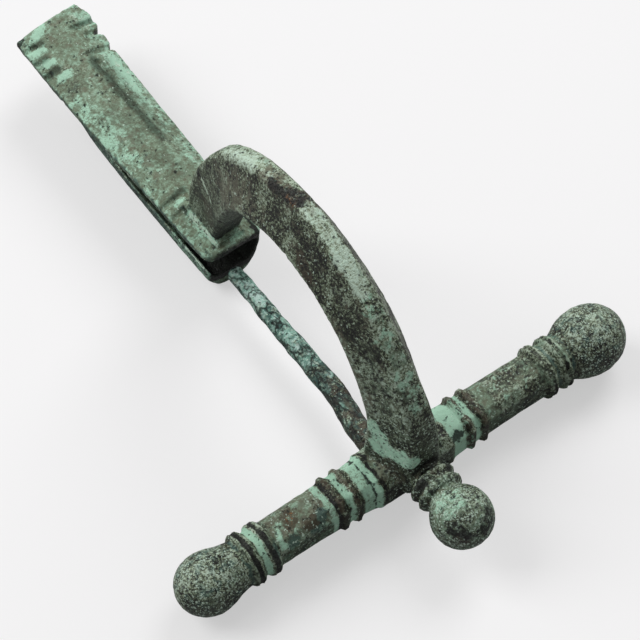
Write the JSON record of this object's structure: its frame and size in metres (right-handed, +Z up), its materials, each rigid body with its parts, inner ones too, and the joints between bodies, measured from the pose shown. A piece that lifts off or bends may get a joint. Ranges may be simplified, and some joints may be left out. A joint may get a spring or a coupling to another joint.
{
  "type": "crossbow fibula brooch",
  "caption": "Late Roman bronze crossbow brooch with an arched bow, a long notched foot with a catch, a crossbar with onion knobs, and a hinged pin.",
  "frame": {"origin": "middle of the brooch's box seen from above, at the surface that it lies on", "axes": "+X along the crossbar, +Y from the crossbar to the end of the foot, +Z up, out of the bow"},
  "size_m": [0.0562, 0.0786, 0.03],
  "materials": {
    "bronze_casting": "dark green patina with mint corrosion",
    "bronze_pin": "corroded, mint and dark green"
  },
  "bodies": {
    "casting": {"brooch_casting": "bronze_casting"},
    "pin_body": {"pin": "bronze_pin"}
  },
  "joints": [
    {"name": "pin_hinge", "type": "hinge", "parent": "casting", "child": "pin_body", "pos_m": [-0.00154, -0.02615, 0.0033], "axis": [-1, 0, 0], "range_deg": [0, 95]}
  ]
}
